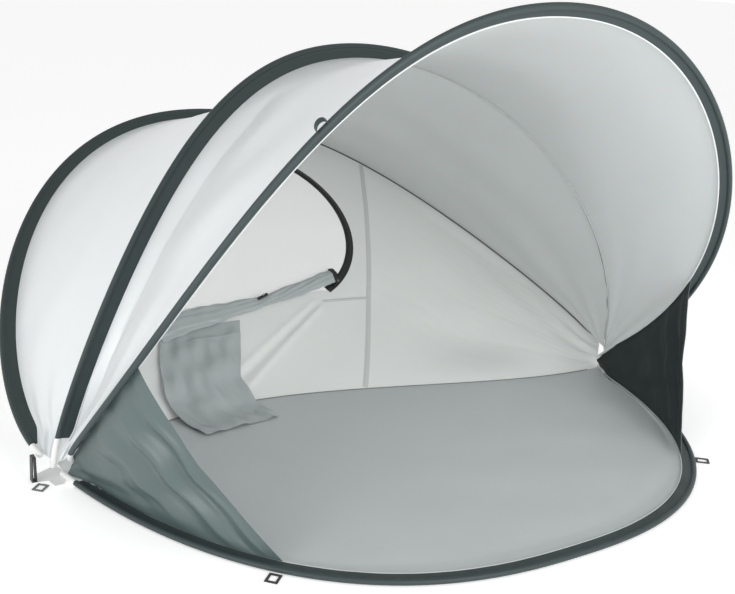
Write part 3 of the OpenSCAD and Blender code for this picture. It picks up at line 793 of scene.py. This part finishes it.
def make_pocket():
    """The pocket hangs from under the roll, and its lower end lies on the floor."""
    n, m = 90, 110
    v = np.linspace(0, 1, n)[:, None]
    s = np.linspace(0, 1, m)[None, :]
    path = np.array([
        on_wall(0, 312, 3.0),
        on_wall(0, 160, 10.0),
        on_wall(0, 40, 14.0),
        [0, SEAM_DEPTH - 20, 19.0],
        [0, SEAM_DEPTH - 70, 11.0],
        [0, SEAM_DEPTH - 124, 7.5],
    ])
    run = np.concatenate([[0], np.linalg.norm(np.diff(path, axis=0), axis=1)]).cumsum()
    at = np.linspace(0, run[-1], m)
    line = np.stack([np.interp(at, run, path[:, k]) for k in range(3)], -1)
    for _ in range(10):
        line[1:-1] = (line[:-2] + 2 * line[1:-1] + line[2:]) / 4
    g = np.broadcast_to(line[None], (n, m, 3)).copy()
    left = np.interp(s, [0, 0.25, 0.55, 0.8, 1], [-463, -505, -535, -520, -497])
    right = np.interp(s, [0, 0.15, 0.5, 0.75, 1], [-196, -222, -282, -276, -250])
    for _ in range(8):
        for side in (left, right):
            side[:, 1:-1] = (side[:, :-2] + 2 * side[:, 1:-1] + side[:, 2:]) / 4
    g[..., 0] = mix(left, right, v)
    g[..., 1] += 30 * (v - 0.5) * smooth((s - 0.7) / 0.3)
    lu, lv = lengths(g)
    bulge = 16 * np.sin(np.pi * v) * np.sin(np.pi * np.clip(s / 0.8, 0, 1)) ** 1.5
    d = (
        2.6 + bulge + 4.6 * waves(lu * 1000, lv * 1000, 97, 9, 44, 150, 35, 0.6)
        + 2.6 * np.sin(2 * math.pi * (1.4 * v + 0.8 * s))
    ) * smooth(s / 0.15)
    nor = normals(g)
    nor = nor * np.sign(nor[..., 2:3])
    g = g + nor * np.maximum(d, -1.5)[..., None]
    hem = g[28:, 13:18] + nor[28:, 13:18] * np.array([0.6, 1.6, 1.8, 1.6, 0.6])[None, :, None]
    edge = panel("pocket_hem", hem, [SATIN, SATIN])
    declare(hem)
    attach(edge, "rear_hoop")
    obj = panel("wall_pocket_cloth", g, [SATIN, SATIN])
    declare(g)
    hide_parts("wall_pocket")
    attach(obj, "rear_hoop")


make_pocket()


# ---------------------------------------------------------------- seams, piping and trim
def make_piping():
    us = even_us(FRONT, POCKET + 4, 300)
    path = FRONT.fin_edge(us, 1.0, -1.0)
    obj = wire("front_piping_cord", path, 2.2, PIPE)
    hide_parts("front_piping")
    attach(obj, "front_hoop")
    for label, hoop, body, lift in (("floor", FLOOR, "ground", 2.5), ("mid", MID, "mid_hoop", -3.0),
                                    ("rear", REAR, "rear_hoop", 3.2)):
        us = even_us(hoop, REAR_POCKET if label == "rear" else POCKET, 260)
        size = 1.5 if label == "floor" else 2.5
        edge = wire(f"{label}_seam_binding", hoop.fin_edge(us, 0.0, lift), size, SEAM)
        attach(edge, body)


make_piping()
for trim, trim_mat in (("corner_patch_left", WHITE), ("corner_patch_right", WHITE),
                       ("corner_strap_left", WEB), ("corner_strap_right", WEB),
                       ("corner_peg_loop_left", TAB), ("corner_peg_loop_right", TAB),
                       ("front_peg_loop_left", WEB), ("front_peg_loop_right", WEB),
                       ("guy_loop", SLATE)):
    NODES[trim].data.materials[0] = trim_mat


# ---------------------------------------------------------------- stage and light
def make_stage():
    data = bpy.data.meshes.new("floor_plane")
    k = 30
    data.from_pydata([(-k, -k, -0.0012), (k, -k, -0.0012), (k, k, -0.0012), (-k, k, -0.0012)],
                     [], [(0, 1, 2, 3)])
    data.materials.append(
        material("studio_floor", (0.94, 0.94, 0.94), 0.9, specular=0.1, glow=0.30)
    )
    obj = bpy.data.objects.new("floor_plane", data)
    SCENE.collection.objects.link(obj)


def area_light(name, place, target, power, size, size_y=None):
    data = bpy.data.lights.new(name, "AREA")
    data.energy = power
    data.shape = "RECTANGLE"
    data.size = size
    data.size_y = size_y or size
    obj = bpy.data.objects.new(name, data)
    SCENE.collection.objects.link(obj)
    obj.location = place
    aim = Vector(target) - Vector(place)
    obj.rotation_euler = aim.to_track_quat("-Z", "Y").to_euler()


def make_light():
    world = bpy.data.worlds.new("studio")
    world.use_nodes = True
    tree = world.node_tree
    back = tree.nodes["Background"]
    back.inputs["Color"].default_value = (1, 1, 1, 1)
    # The studio is bright round the sides and darker overhead.
    place = tree.nodes.new("ShaderNodeTexCoord")
    split = tree.nodes.new("ShaderNodeSeparateXYZ")
    fall = tree.nodes.new("ShaderNodeMapRange")
    fall.inputs["From Min"].default_value = 0.1
    fall.inputs["From Max"].default_value = 0.9
    fall.inputs["To Min"].default_value = 1.1
    fall.inputs["To Max"].default_value = 0.48
    tree.links.new(place.outputs["Generated"], split.inputs["Vector"])
    tree.links.new(split.outputs["Z"], fall.inputs["Value"])
    tree.links.new(fall.outputs["Result"], back.inputs["Strength"])
    SCENE.world = world
    area_light("key", (-4.2, -1.6, 0.9), (-0.3, 0.1, 0.6), 60, 2.0)
    area_light("fill", (0.2, -4.4, 1.9), (0.2, 0.5, 0.5), 100, 2.6)


make_stage()
make_light()
SCENE.view_settings.view_transform = "Standard"
SCENE.view_settings.look = "None"
